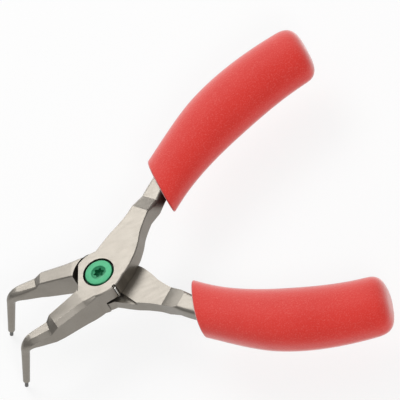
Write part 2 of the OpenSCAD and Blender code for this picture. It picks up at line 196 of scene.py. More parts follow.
# Fineness of the meshes: points, rings or degrees
CORNER_STEPS = 6
ROUND_STEPS = 96
NOTCH_STEPS = 32
FLAT_STEPS = 24
SLOT_STEPS = 16
LAP_STEP_DEG = 4
GRIP_SIDES = 96
END_RINGS = 22
END_FIRST_DEG = 0.05
END_FINE_DEG = 20
RUN_RINGS = 70
LIP_DEGS = (15, 30, 45, 60, 75, 90)
HOLLOW_RINGS = 8
HOLE_RINGS = 12
PIN_STEPS = 48
SCREW_STEPS = 144
BEVEL_RINGS = 6
WIRE_SIDES = 16
COIL_RINGS = 60
LEAD_RINGS = 5
LEG_BEND_DEGS = (15, 30, 45, 60, 75, 90)
LEG_RINGS = 4

# Edges: points nearer than WELD merge, faces flatter than COPLANAR join, edges over BROKEN are
# broken by EDGE_BREAK and edges over SHARP shade as sharp
WELD = 0.002
COPLANAR = math.radians(0.4)
EDGE_BREAK = 0.1
BROKEN = math.radians(32)
SHARP = math.radians(18)

# Attribute of a grip's points for the painted shade in its mouth: 0 on the outside, 1 in the mouth
MOUTH_SHADE = "deep"
MOUTH_SHADE_AT_LIP = 0.1


def unit(deg):
    """The way that an angle in degrees points."""
    return np.array([math.cos(math.radians(deg)), math.sin(math.radians(deg))])


def spread(a, b, n):
    """n even steps from a, without b."""
    return list(np.linspace(a, b, n, endpoint=False))


# Middle line of an arm: a negative distance runs to the tip, a positive one to the handle's end
NECK_COS, NECK_SIN = unit(NECK_DEG)
KNEE_ARC = KNEE_R * math.radians(NECK_DEG)
KNEE_D = (JAW_OFF - KNEE_R * (1 - NECK_COS)) / NECK_SIN
KNEE_X = KNEE_D * NECK_COS + KNEE_R * NECK_SIN
ROOT_D = KNEE_D + KNEE_ARC
STEP_D = ROOT_D + STEP_X - KNEE_X
STEP_TOP = STEP_D - STEP_EARLY
BEND_START = STEP_D + NOSE_LEN
BEND_END = BEND_START + BEND_R * math.radians(BEND_DEG)
NOSE_END = BEND_END + TIP_LEN
TANG_D = MOUTH_D + TANG_LEN
GRIP_END_D = MOUTH_D + GRIP_LEN
JAW_LEGS = [
    (KNEE_D, 0),
    (KNEE_ARC, -NECK_DEG),
    (STEP_X - KNEE_X, 0),
    (STEP_RUN, -NOSE_IN_DEG),
    (NOSE_LEN - STEP_RUN, 0),
]
HANDLE_LEGS = [(MOUTH_D, 0), (2 * GRIP_LEN, -math.degrees(2 * GRIP_LEN / BOW_R))]


def walk(heading, legs, s):
    """[x, y, heading in degrees] after s along legs of (length, turn) from the pivot."""
    x = y = 0.0
    for i, (length, turn) in enumerate(legs):
        last = s <= length or i == len(legs) - 1
        run = s if last else length
        if turn == 0:
            x, y = np.array([x, y]) + run * unit(heading)
        else:
            r = length / math.radians(turn)
            turned = heading + turn * run / length
            dx, dy = unit(turned) - unit(heading)
            x, y, heading = x + r * dy, y - r * dx, turned
        if last:
            break
        s -= length
    return x, y, heading


def section_axes(d):
    """Origin, sideways and up of the section at a distance along the arm."""
    if d < 0:
        x, y, heading = walk(180 + NECK_DEG, JAW_LEGS, min(-d, BEND_START))
        side = unit(heading - 90)
    else:
        x, y, heading = walk(NECK_DEG, HANDLE_LEGS, d)
        side = unit(heading + 90)
    along = unit(heading)
    bent = min(max(-d - BEND_START, 0) / BEND_R, math.radians(BEND_DEG))
    straight = max(-d - BEND_END, 0)
    out = BEND_R * math.sin(bent) + straight * math.cos(bent)
    down = BEND_R * (1 - math.cos(bent)) + straight * math.sin(bent)
    z = -NOSE_DROP * min(max((-d - STEP_D) / NOSE_LEN, 0), 1)
    origin = np.array([x + out * along[0], y + out * along[1], z - down])
    up = np.array([math.sin(bent) * along[0], math.sin(bent) * along[1], math.cos(bent)])
    return origin, np.array([side[0], side[1], 0.0]), up


def key_curve(keys, d):
    """A smooth curve through (distance, value) keys."""
    k = np.array(keys)
    if d <= k[0, 0]:
        return k[0, 1]
    if d >= k[-1, 0]:
        return k[-1, 1]

    def slope(i):
        inside = 0 < i < len(k) - 1
        return (k[i + 1, 1] - k[i - 1, 1]) / (k[i + 1, 0] - k[i - 1, 0]) if inside else 0.0

    i = int(np.searchsorted(k[:, 0], d, side="right")) - 1
    w = k[i + 1, 0] - k[i, 0]
    t = (d - k[i, 0]) / w
    ends = (1 + 2 * t) * (1 - t) ** 2 * k[i, 1] + t * t * (3 - 2 * t) * k[i + 1, 1]
    return ends + w * t * (1 - t) * ((1 - t) * slope(i) - t * slope(i + 1))


def lookup(keys, d):
    k = np.array(keys)
    return float(np.interp(d, k[:, 0], k[:, 1]))


NOSE_KEYS = [
    (-NOSE_END, TIP_D / 2),
    (-BEND_END, BEND_D / 2),
    (-BEND_START, BEND_D / 2 + BEND_GAIN),
    (-STEP_D - STEP_RUN, NOSE_W / 2),
    (-STEP_TOP, JAW_STEP_W / 2),
    (-ROOT_D, JAW_ROOT_W / 2),
]
TANG_KEYS = [
    (RAMP_END, TANG_W / 2),
    (MOUTH_D, TANG_W / 2),
    (TANG_D - TANG_W, TANG_W / 2),
    (TANG_D, TANG_END * TANG_W / 2),
]


def side_keys(web, neck, neck_end, hip=()):
    return [
        *NOSE_KEYS,
        (-KNEE_D, (web + JAW_ROOT_W / 2) / 2 - ROOT_DROP),
        (0, web),
        *hip,
        (LAP_R + NECK_NEAR, neck),
        (LAP_R + NECK_FAR, neck - (neck - neck_end) * NECK_SHARE),
        (RAMP_START - NECK_FAR, neck_end + (neck - neck_end) * NECK_SHARE),
        (RAMP_START, neck_end),
        *TANG_KEYS,
    ]


OUTER_KEYS = side_keys(WEB_OUTER, NECK_OUTER, NECK_END_OUTER)
INNER_KEYS = side_keys(WEB_INNER, NECK_INNER, NECK_END_INNER, [(HIP_D, HIP_INNER)])


def face_keys(lap_face, step, nose, bend, root):
    """Height of the bar's back or belly along its length."""
    return [
        (-NOSE_END, TIP_D / 2),
        (-BEND_END, BEND_D / 2),
        (-BEND_START, BEND_D / 2 + bend),
        (-STEP_D - STEP_RUN, nose),
        (-STEP_TOP, step),
        (-ROOT_D, root),
        (-KNEE_D, LAP_T),
        (0, lap_face),
        (HEEL_START, lap_face),
        (HEEL_END, TANG_T / 2),
        (TANG_D - TANG_W, TANG_T / 2),
        (TANG_D, TANG_END * TANG_T / 2),
    ]


def back_keys(lap_top):
    return face_keys(lap_top, JAW_BACK, NOSE_T / 2 - NOSE_SAG, BEND_GAIN, LAP_T - ROOT_DROP)


def belly_keys(lap_foot):
    return face_keys(lap_foot, JAW_BELLY, NOSE_BELLY, BELLY_GAIN, LAP_T)


ROUND_KEYS = [
    (-NOSE_END, TIP_D / 2),
    (-BEND_END, BEND_D / 2),
    (-BEND_START, NOSE_ROUND),
    (-STEP_D, EDGE_R),
    (RAMP_START, EDGE_R),
    (RAMP_END, TANG_ROUND),
    (TANG_D, TANG_ROUND),
]
BEVEL_KEYS = [
    (-NOSE_END, TIP_D / 2),
    (-BEND_END, BEND_D / 2),
    (-BEND_START, NOSE_ROUND),
    (-STEP_D, JAW_BEVEL),
    (-ROOT_D, JAW_BEVEL),
    (-KNEE_D, EDGE_R),
    (RAMP_START, EDGE_R),
    (RAMP_END, TANG_ROUND),
    (TANG_D, TANG_ROUND),
]
FLAT_KEYS = [(-BEND_END, 0), (-BEND_START, 1), (-ROOT_D, 1), (-KNEE_D, 0)]


def corner(u, v, r, start, flat=0.0, steps=CORNER_STEPS):
    """A quarter turn about [u, v], drawn towards its chord by flat."""
    points = []
    for i in range(steps + 1):
        t = i / steps
        chord = (1 - t) * unit(start) + t * unit(start + 90)
        points.append(np.array([u, v]) + r * ((1 - flat) * unit(start + 90 * t) + flat * chord))
    return points


def bar_section(d, lap_top, lap_foot, room=0.0, steps=CORNER_STEPS):
    origin, side, up = section_axes(d)
    lap_half = math.sqrt(max(LAP_R * LAP_R - d * d, 0))
    outer = max(key_curve(OUTER_KEYS, d), lap_half) + room
    inner = max(key_curve(INNER_KEYS, d), lap_half) + room
    back = lookup(back_keys(lap_top), d) + room
    belly = lookup(belly_keys(lap_foot), d) + room
    most = min(outer, inner, (back + belly) / 2)
    r = min(lookup(ROUND_KEYS, d), most)
    b = min(lookup(BEVEL_KEYS, d), most)
    flat = [
        *corner(outer - r, back - r, r, 0, steps=steps),
        *corner(b - inner, back - b, b, 90, lookup(FLAT_KEYS, d), steps),
        *corner(r - inner, r - belly, r, 180, steps=steps),
        *corner(outer - r, r - belly, r, 270, steps=steps),
    ]
    return [origin + p[0] * side + p[1] * up for p in flat]


def upper_place():
    turn = Matrix.Rotation(math.radians(REST_OPENING / 2), 4, "Z")
    return Matrix.Translation((0, 0, -LAP_T)) @ turn


def lower_place():
    turn = Matrix.Rotation(math.radians(-REST_OPENING / 2), 4, "Z")
    return Matrix.Translation((0, 0, -LAP_T)) @ turn @ Matrix.Scale(-1, 4, (0, 1, 0))


def new_object(name, verts, faces):
    mesh = bpy.data.meshes.new(name)
    mesh.from_pydata([tuple(map(float, v)) for v in verts], [], faces)
    obj = bpy.data.objects.new(name, mesh)
    bpy.context.scene.collection.objects.link(obj)
    face_outward(obj)
    return obj


def face_outward(obj):
    bm = bmesh.new()
    bm.from_mesh(obj.data)
    bmesh.ops.recalc_face_normals(bm, faces=bm.faces)
    bm.to_mesh(obj.data)
    bm.free()


def loft(name, rings):
    """A closed skin over rings with the same number of points."""
    n = len(rings[0])
    verts = [p for ring in rings for p in ring]
    faces = [tuple(range(n)), tuple((len(rings) - 1) * n + j for j in range(n))]
    for i in range(len(rings) - 1):
        for j in range(n):
            k = (j + 1) % n
            faces.append((i * n + j, i * n + k, (i + 1) * n + k, (i + 1) * n + j))
    return new_object(name, verts, faces)


def lathe(name, profile, steps=ROUND_STEPS):
    """Rings about Z from (radius, height) pairs; a radius may be a function of the angle."""
    rings = []
    for r, z in profile:
        ring = []
        for j in range(steps):
            a = 360 * j / steps
            reach = r(a) if callable(r) else r
            height = z(a) if callable(z) else z
            ring.append((*(reach * unit(a)), height))
        rings.append(ring)
    return loft(name, rings)


def prism(name, outline, low, high):
    return loft(name, [[(x, y, z) for x, y in outline] for z in (low, high)])


def disc(r, steps=ROUND_STEPS):
    return [tuple(r * unit(360 * i / steps)) for i in range(steps)]


def shift(obj, matrix):
    obj.data.transform(matrix)
    return obj


def cut(obj, cutters):
    for cutter in cutters:
        face_outward(cutter)
        m = obj.modifiers.new("cut", "BOOLEAN")
        m.operation = "DIFFERENCE"
        m.solver = "EXACT"
        m.object = cutter
    graph = bpy.context.evaluated_depsgraph_get()
    mesh = bpy.data.meshes.new_from_object(obj.evaluated_get(graph))
    obj.modifiers.clear()
    obj.data = mesh
    for cutter in cutters:
        bpy.data.objects.remove(cutter)
    return obj


def finish(obj, body, node, material, break_edges=0.0, twist=None):
    """Breaks the sharp edges, sets the shading, scales to metres and hands the piece over.

    With a twist (low, high) the piece is baked in place and joins no body; its heights are not
    used.
    """
    bm = bmesh.new()
    bm.from_mesh(obj.data)
    bmesh.ops.remove_doubles(bm, verts=bm.verts, dist=WELD)
    if break_edges:
        bmesh.ops.dissolve_limit(
            bm, angle_limit=COPLANAR, verts=bm.verts, edges=bm.edges, delimit=set()
        )
        sharp = [e for e in bm.edges if len(e.link_faces) == 2 and e.calc_face_angle(0) > BROKEN]
        bmesh.ops.bevel(
            bm,
            geom=sharp,
            offset=break_edges,
            offset_type="OFFSET",
            segments=2,
            profile=0.5,
            affect="EDGES",
            clamp_overlap=True,
        )
    bmesh.ops.recalc_face_normals(bm, faces=bm.faces)
    bm.to_mesh(obj.data)
    bm.free()
    obj.data.transform(Matrix.Scale(MM, 4))
    obj.data.shade_smooth()
    obj.data.set_sharp_from_angle(angle=SHARP)
    weigh = obj.modifiers.new("flat faces stay flat", "WEIGHTED_NORMAL")
    weigh.keep_sharp = True
    obj.data.materials.clear()
    obj.data.materials.append(material)
    if twist:
        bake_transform(obj)
    else:
        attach(obj, body)
    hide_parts(node)
    return obj


# Materials

# A Mix node's colour sockets, by number because others share their names
MIX_A, MIX_B, MIX_RESULT = 6, 7, 2
# The values that most of a noise lies between
NOISE_MOST = (0.3, 0.7)


class Finish:
    """A procedural material: a principled shader and helpers to wire what varies over it."""

    def __init__(self, name, **constants):
        self.material = bpy.data.materials.new(name)
        self.material.use_nodes = True
        self.tree = self.material.node_tree
        self.shader = self.tree.nodes["Principled BSDF"]
        self.place = self.tree.nodes.new("ShaderNodeTexCoord").outputs["Object"]
        for key, value in constants.items():
            self.shader.inputs[key.replace("_", " ")].default_value = value

    def node(self, kind, **inputs):
        made = self.tree.nodes.new(kind)
        for key, value in inputs.items():
            self.put(made.inputs[key.replace("_", " ")], value)
        return made

    def put(self, socket, value):
        if isinstance(value, bpy.types.NodeSocket):
            self.tree.links.new(value, socket)
        else:
            socket.default_value = value

    def noise(self, scale, detail=3.0, rough=0.5, stretch=(1, 1, 1)):
        vector = self.place
        if stretch != (1, 1, 1):
            mapping = self.node("ShaderNodeMapping", Vector=self.place)
            mapping.inputs["Scale"].default_value = stretch
            vector = mapping.outputs["Vector"]
        made = self.node(
            "ShaderNodeTexNoise", Vector=vector, Scale=scale, Detail=detail, Roughness=rough
        )
        return made.outputs["Fac"]

    def between(self, value, low, high, low_to, high_to):
        """Maps low to high onto low_to to high_to, held at both ends."""
        made = self.node("ShaderNodeMapRange", Value=value)
        made.inputs["From Min"].default_value = low
        made.inputs["From Max"].default_value = high
        made.inputs["To Min"].default_value = low_to
        made.inputs["To Max"].default_value = high_to
        return made.outputs["Result"]

    def mix(self, factor, a, b):
        made = self.tree.nodes.new("ShaderNodeMix")
        made.data_type = "RGBA"
        self.put(made.inputs["Factor"], factor)
        self.put(made.inputs[MIX_A], a)
        self.put(made.inputs[MIX_B], b)
        return made.outputs[MIX_RESULT]

    def attribute(self, name):
        made = self.tree.nodes.new("ShaderNodeAttribute")
        made.attribute_name = name
        return made.outputs["Fac"]

    def bump(self, height, strength, distance):
        """Raises the surface by up to a distance in metres."""
        made = self.node("ShaderNodeBump", Height=height, Strength=strength, Distance=distance)
        self.put(self.shader.inputs["Normal"], made.outputs["Normal"])

    def use(self, socket, value):
        self.put(self.shader.inputs[socket], value)


def rgb(r, g, b):
    return (r, g, b, 1.0)


def satin_steel():
    m = Finish("satin_steel", Metallic=1.0)
    cloud = m.noise(160.0, 4.0)
    grain = m.noise(5200.0, 2.0)
    streak = m.noise(900.0, 3.0, stretch=(0.25, 1.0, 1.0))
    base = m.mix(cloud, rgb(0.232, 0.211, 0.182), rgb(0.297, 0.274, 0.241))
    base = m.mix(m.between(grain, 0.35, 0.65, 0.0, 0.35), base, rgb(0.365, 0.340, 0.304))
    m.use("Base Color", base)
    m.use("Roughness", m.between(streak, *NOISE_MOST, 0.38, 0.44))
    m.bump(grain, 0.18, 0.00003)
    return m.material


def red_sleeve():
    m = Finish("red_sleeve", Sheen_Weight=1.0, Sheen_Roughness=0.48)
    m.shader.inputs["Sheen Tint"].default_value = rgb(1.0, 0.92, 0.90)
    m.shader.inputs["Specular IOR Level"].default_value = 0.15
    cloud = m.noise(70.0, 3.0)
    grain = m.noise(1500.0, 3.0, 0.6)
    fleck = m.noise(2400.0, 2.0)
    base = m.mix(cloud, rgb(0.68, 0.024, 0.015), rgb(0.755, 0.037, 0.026))
    base = m.mix(m.between(fleck, 0.5, 0.72, 0.0, 0.28), base, rgb(0.84, 0.20, 0.17))
    # Painted shade: the lip and the hollow of the mouth darken to a deep red, following the mouth
    # attribute
    base = m.mix(m.attribute(MOUTH_SHADE), base, rgb(0.20, 0.010, 0.009))
    m.use("Base Color", base)
    m.use("Roughness", m.between(grain, *NOISE_MOST, 0.58, 0.76))
    m.bump(grain, 0.6, 0.00014)
    return m.material


def green_screw():
    m = Finish("green_screw", Metallic=0.5, Coat_Weight=0.12, Coat_Roughness=0.2)
    cloud = m.noise(420.0, 3.0)
    grain = m.noise(4200.0, 2.0)
    base = m.mix(cloud, rgb(0.008, 0.172, 0.070), rgb(0.016, 0.225, 0.098))
    m.use("Base Color", base)
    m.use("Roughness", m.between(grain, *NOISE_MOST, 0.26, 0.36))
    m.bump(grain, 0.08, 0.00002)
    return m.material


def black_washer():
    m = Finish("black_washer")
    grain = m.noise(2400.0, 3.0)
    m.use("Base Color", m.mix(grain, rgb(0.010, 0.010, 0.011), rgb(0.022, 0.022, 0.023)))
    m.use("Roughness", m.between(grain, *NOISE_MOST, 0.5, 0.7))
    m.bump(grain, 0.15, 0.00002)
    return m.material


def pin_steel():
    m = Finish("pin_steel", Metallic=1.0)
    turned = m.noise(2600.0, 2.0, stretch=(0.3, 0.3, 3.0))
    m.use("Base Color", m.mix(turned, rgb(0.10, 0.099, 0.097), rgb(0.19, 0.187, 0.183)))
    m.use("Roughness", m.between(turned, *NOISE_MOST, 0.32, 0.48))
    m.bump(turned, 0.12, 0.00002)
    return m.material


def spring_wire():
    m = Finish("spring_wire", Metallic=1.0)
    drawn = m.noise(3000.0, 2.0, stretch=(1.0, 1.0, 0.2))
    m.use("Base Color", m.mix(drawn, rgb(0.42, 0.41, 0.39), rgb(0.55, 0.54, 0.52)))
    m.use("Roughness", m.between(drawn, *NOISE_MOST, 0.2, 0.34))
    m.bump(drawn, 0.1, 0.00002)
    return m.material


STEEL = satin_steel()
RED = red_sleeve()
GREEN = green_screw()
BLACK = black_washer()
PIN = pin_steel()
WIRE = spring_wire()

# Arms

# Where an arm's sections lie, with the number of sections per stretch
ARM_STATIONS = [
    *spread(-NOSE_END, -BEND_END, 8),
    *spread(-BEND_END, -BEND_START, 24),
    *spread(-BEND_START, -STEP_D - STEP_RUN, 8),
    -STEP_D - STEP_RUN,
    *spread(-STEP_TOP, -ROOT_D, 8),
    *spread(-ROOT_D, -LAP_R, 10),
    *[LAP_R * math.cos(math.radians(a)) for a in range(180 - LAP_STEP_DEG, 0, -LAP_STEP_DEG)],
    *spread(LAP_R, RAMP_START, 28),
    *spread(RAMP_START, HEEL_START, 3),
    *spread(HEEL_START, HEEL_END, 8),
    *spread(HEEL_END, RAMP_END, 3),
    *spread(RAMP_END, MOUTH_D, 4),
    *spread(MOUTH_D, TANG_D - TANG_W, 16),
    TANG_D - TANG_W,
    TANG_D,
]
BORE_R = SHANK_R + SCREW_GAP
COUNTERBORE_R = HEAD_R + RING_GAP
COUNTERBORE_DEPTH = HEAD_H + WASHER_T + SCREW_GAP
POCKET_R = COIL_R + WIRE_D / 2 + SPRING_GAP
POCKET_CORE_R = COIL_R - WIRE_D / 2 - SPRING_GAP
COIL_PITCH = WIRE_D + SPRING_GAP / 2
SLOT_DEPTH = WIRE_D + 2 * SPRING_GAP
POCKET_DEPTH = SLOT_DEPTH + COIL_TURNS * COIL_PITCH
LEG_R = LAP_R - WIRE_D / 4


def leg_lead(r):
    return math.degrees(math.acos(COIL_R / r))


LEG_HEIGHT = -LAP_GAP / 2 - SPRING_GAP - WIRE_D / 2
COIL_ENDS = LEG_ANGLE - leg_lead(LEG_R)
COIL_STARTS = COIL_ENDS - 360 * COIL_TURNS
COIL_LOW = LEG_HEIGHT - COIL_TURNS * COIL_PITCH


def arm_bar(name, lap_top, lap_foot):
    return loft(name, [bar_section(d, lap_top, lap_foot) for d in ARM_STATIONS])


def lap_rooms(flip):
    """Room for the other arm's lap: round at the jaw, with a ramp at the tang."""
    deep = 3 * LAP_T
    face = LAP_GAP / 2
    well = prism("well", disc(LAP_R + SHOULDER_GAP), -deep, face)
    outline = [
        (0, -deep),
        (0, face),
        (RAMP_START, face),
        (RAMP_END, -TANG_T / 2 - PAST),
        (RAMP_END, -deep),
    ]
    wide = 2 * LAP_R
    ramp = loft("ramp", [[(x, y, z) for x, z in outline] for y in (-wide, wide)])
    shift(ramp, Matrix.Rotation(math.radians(NECK_DEG), 4, "Z"))
    if flip:
        for obj in (well, ramp):
            shift(obj, Matrix.Scale(-1, 4, (0, 0, 1)))
    return [well, ramp]


def lap_edge():
    """The edge of a lap outside its flat, which faces the other jaw at rest."""
    reach = LAP_R + SHOULDER_GAP
    half = math.degrees(math.acos(LAP_FLAT / reach))
    outline = [tuple(reach * unit(a)) for a in np.linspace(-half, half, FLAT_STEPS)]
    edge = prism("edge", outline, -2 * LAP_T, 2 * LAP_T)
    return shift(edge, Matrix.Rotation(math.radians(180 - REST_OPENING), 4, "Z"))


def make_upper_arm():
    arm = arm_bar("upper_arm_forging", LAP_T, TANG_T / 2)
    notch_at = LEG_ANGLE - REST_OPENING / 2
    notch = prism("notch", disc(WIRE_D / 2 + SPRING_GAP, NOTCH_STEPS), -PAST, LAP_T + PAST)
    shift(notch, Matrix.Translation((*(LEG_R * unit(notch_at)), 0)))
    cutters = [
        *lap_rooms(False),
        prism("bore", disc(BORE_R), -PAST, LAP_T + PAST),
        prism("counterbore", disc(COUNTERBORE_R), LAP_T - COUNTERBORE_DEPTH, LAP_T + PAST),
        lap_edge(),
        notch,
    ]
    cut(arm, cutters)
    shift(arm, upper_place())
    return finish(arm, "upper_half", "upper_arm", STEEL, EDGE_BREAK)


def make_lower_arm():
    arm = arm_bar("lower_arm_forging", TANG_T / 2, LAP_T)
    hole = prism("hole", disc(THREAD_R + SCREW_GAP), -LAP_T - PAST, LAP_T)
    cut(arm, [*lap_rooms(True), hole, lap_edge()])
    shift(arm, lower_place())
    face_outward(arm)
    top = -LAP_GAP / 2 + PAST - LAP_T
    pocket_floor = -LAP_GAP / 2 - POCKET_DEPTH - LAP_T
    pocket_walls = [
        (POCKET_CORE_R, top),
        (POCKET_R, top),
        (POCKET_R, pocket_floor),
        (POCKET_CORE_R, pocket_floor),
    ]
    pocket = close_ring(lathe("pocket", pocket_walls))
    wire_angle = math.degrees(math.asin((WIRE_D / 2 + SPRING_GAP) / POCKET_R))
    slot_from = COIL_ENDS + leg_lead(POCKET_R) - wire_angle - REST_OPENING
    slot_to = LEG_ANGLE + wire_angle
    turns = np.linspace(slot_from, slot_to, SLOT_STEPS)
    outline = [tuple(2 * LAP_R * unit(a)) for a in turns]
    outline += [tuple(COIL_R * unit(a)) for a in turns[::-1]]
    slot = prism("slot", outline, -LAP_GAP / 2 - SLOT_DEPTH - LAP_T, top)
    cut(arm, [pocket, slot])
    return finish(arm, "lower_half", "lower_arm", STEEL, EDGE_BREAK)


def close_ring(obj):
    """Turns a lathed skin with end caps into a closed ring: the caps go, its ends are joined."""
    bm = bmesh.new()
    bm.from_mesh(obj.data)
    caps = [f for f in bm.faces if len(f.verts) > 4]
    bmesh.ops.delete(bm, geom=caps, context="FACES_ONLY")
    rims = [e for e in bm.edges if e.is_boundary]
    bmesh.ops.bridge_loops(bm, edges=rims)
    bmesh.ops.recalc_face_normals(bm, faces=bm.faces)
    bm.to_mesh(obj.data)
    bm.free()
    return obj


make_upper_arm()
make_lower_arm()

# Grips

ROUND_FROM = GRIP_END_D - GRIP_END
WIDEST_D = MOUTH_D + GRIP_LEN / 2


def grip_keys(mouth, widest):
    return [(MOUTH_D, mouth / 2), (WIDEST_D, widest / 2), (GRIP_END_D, GRIP_TAPER * widest / 2)]


GRIP_W_KEYS = grip_keys(GRIP_MOUTH_W, GRIP_W)
GRIP_T_KEYS = grip_keys(GRIP_MOUTH_T, GRIP_T)


def end_round(d):
    """Share of the full section that is left in the grip's rounded end."""
    t = max(0.0, d - ROUND_FROM) / GRIP_END
    return max(0.0, 1 - t**END_POWER) ** (1 / END_POWER)


def lip_in(d):
    """How far the rounded lip of the mouth draws a section in."""
    t = min(1.0, (d - MOUTH_D) / LIP_R)
    return LIP_R * (1 - math.sqrt(1 - (1 - t) ** 2))


def oval(d, half_w, half_t):
    """A rounded section that slants at the mouth and stands square further back."""
    slant = math.tan(math.radians(MOUTH_TILT)) * min(max(1 - (d - MOUTH_D) / SLANT_FADE, 0), 1)
    ring = []
    for j in range(GRIP_SIDES):
        q = unit(360 * j / GRIP_SIDES)
        u, v = np.sign(q) * np.abs(q) ** (2 / GRIP_POWER) * (half_w, half_t)
        origin, side, up = section_axes(d + u * slant)
        ring.append(origin + u * side + v * up)
    return ring


def grip_ring(d):
    w = key_curve(GRIP_W_KEYS, d) * end_round(d) - lip_in(d)
    t = key_curve(GRIP_T_KEYS, d) * end_round(d) - lip_in(d)
    return oval(d, w, t)


def make_grip(name, place, body, node):
    """One skin: round end, outside, lip, hollow mouth and the hole that the tang fills."""
    turns = [
        *np.geomspace(END_FIRST_DEG, END_FINE_DEG, END_RINGS),
        *np.linspace(END_FINE_DEG, 90, END_RINGS)[1:],
    ]
    end = [ROUND_FROM + GRIP_END * math.cos(math.radians(a)) for a in turns]
    run = np.linspace(ROUND_FROM, MOUTH_D + LIP_R, RUN_RINGS)[1:]
    lip = [MOUTH_D + LIP_R * (1 - math.sin(math.radians(a))) for a in LIP_DEGS]
    rings = [grip_ring(d) for d in [*end, *run, *lip]]
    in_w, in_t = GRIP_MOUTH_W / 2 - GRIP_WALL, GRIP_MOUTH_T / 2 - GRIP_WALL
    rings.append(oval(MOUTH_D, in_w + INNER_LIP, in_t + INNER_LIP))
    rings.append(oval(MOUTH_D + INNER_LIP, in_w, in_t))
    for t in np.linspace(0.1, 1, HOLLOW_RINGS):
        ease = max(0.0, (t - HOLLOW_EVEN) / (1 - HOLLOW_EVEN))
        w = in_w + (TANG_W / 2 + TANG_GAP - in_w) * ease
        h = in_t + (TANG_T / 2 + TANG_GAP - in_t) * ease
        rings.append(oval(MOUTH_D + t * MOUTH_DEPTH, w, h))
    steps = GRIP_SIDES // 4 - 1
    hole = np.linspace(MOUTH_D + MOUTH_DEPTH + HOLE_START, TANG_D - TANG_W, HOLE_RINGS)
    for d in [*hole, TANG_D, TANG_D + TANG_GAP]:
        rings.append(bar_section(d, LAP_T, LAP_T, TANG_GAP, steps))
    grip = loft(name, rings)
    # Painted shade in the mouth: none outside, rising over the lip's rings, full in the hollow and
    # the hole
    deep = [0.0] * len([*end, *run]) + list(np.linspace(MOUTH_SHADE_AT_LIP, 1.0, len(lip)))
    deep += [1.0] * (len(rings) - len(deep))
    layer = grip.data.attributes.new(MOUTH_SHADE, "FLOAT", "POINT")
    layer.data.foreach_set("value", np.repeat(deep, GRIP_SIDES))
    shift(grip, place)
    return finish(grip, body, node, RED)


make_grip("upper_sleeve", upper_place(), "upper_half", "upper_grip")
make_grip("lower_sleeve", lower_place(), "lower_half", "lower_grip")

# Tip pins


def make_pin(name, place, body, node):
    heading = walk(180 + NECK_DEG, JAW_LEGS, BEND_START)[2]
    pin = lathe(
        name,
        [
            (PIN_ROOT_D / 2, -PIN_SEAT),
            (PIN_ROOT_D / 2, 0),
            (PIN_D / 2, 0),
            (PIN_D / 2, PIN_LEN - PIN_CHAMFER),
            (PIN_D / 2 - PIN_CHAMFER, PIN_LEN),
        ],
        PIN_STEPS,
    )
    lean = Matrix.Rotation(math.radians(90 + BEND_DEG), 4, "Y")
    turn = Matrix.Rotation(math.radians(heading), 4, "Z")
    shift(pin, place @ Matrix.Translation(section_axes(-NOSE_END)[0]) @ turn @ lean)
    return finish(pin, body, node, PIN)


make_pin("upper_point", upper_place(), "upper_half", "upper_tip_pin")
make_pin("lower_point", lower_place(), "lower_half", "lower_tip_pin")

# Screw, washer and spring


def drive_r(a):
    return DRIVE_R * (1 - DRIVE_WAVE + DRIVE_WAVE * math.cos(math.radians(DRIVE_LOBES * a)))


def dish_z(r):
    return -DISH_DEPTH * (1 - (r / DISH_R) ** 2)


def make_screw():
    seat = -LAP_T - LAP_GAP / 2
    end = -2 * LAP_T + EDGE_R
    floor = -DISH_DEPTH - DRIVE_DEPTH
    profile = [
        (AXIS_R, end),
        (THREAD_R - THREAD_CHAMFER, end),
        (THREAD_R, end + THREAD_CHAMFER),
        (THREAD_R, seat),
        (SHANK_R, seat),
        (SHANK_R, -HEAD_H),
        (HEAD_R, -HEAD_H),
    ]
    for c, s in map(unit, np.linspace(0, 90, BEVEL_RINGS)):
        profile.append((HEAD_R - HEAD_BEVEL * (1 - c), -HEAD_BEVEL * (1 - s)))
    profile += [(r, dish_z(r)) for r in np.linspace(DISH_R, DRIVE_R + DISH_RIM, BEVEL_RINGS)]
    profile += [
        (drive_r, lambda a: dish_z(drive_r(a))),
        (lambda a: drive_r(a) - DRIVE_BEVEL, lambda a: dish_z(drive_r(a)) - DRIVE_BEVEL_H),
        (lambda a: drive_r(a) - DRIVE_BEVEL, floor),
        (AXIS_R, floor - DRIVE_POINT),
    ]
    screw = lathe("drive_screw", profile, SCREW_STEPS)
    return finish(screw, "lower_half", "pivot_screw", GREEN)


def make_washer():
    low, high = -HEAD_H - WASHER_T, -HEAD_H
    outer, inner = COUNTERBORE_R - SCREW_GAP, SHANK_R + SCREW_GAP
    washer = lathe(
        "black_ring",
        [
            (inner, low),
            (outer - WASHER_SOFT, low),
            (outer, low + WASHER_SOFT),
            (outer, high - WASHER_SOFT),
            (outer - WASHER_SOFT, high),
            (inner, high),
        ],
    )
    close_ring(washer)
    return finish(washer, "lower_half", "head_washer", BLACK)


def coil_point(a):
    return np.array([*(COIL_R * unit(a)), COIL_LOW + (a - COIL_STARTS) / 360 * COIL_PITCH])


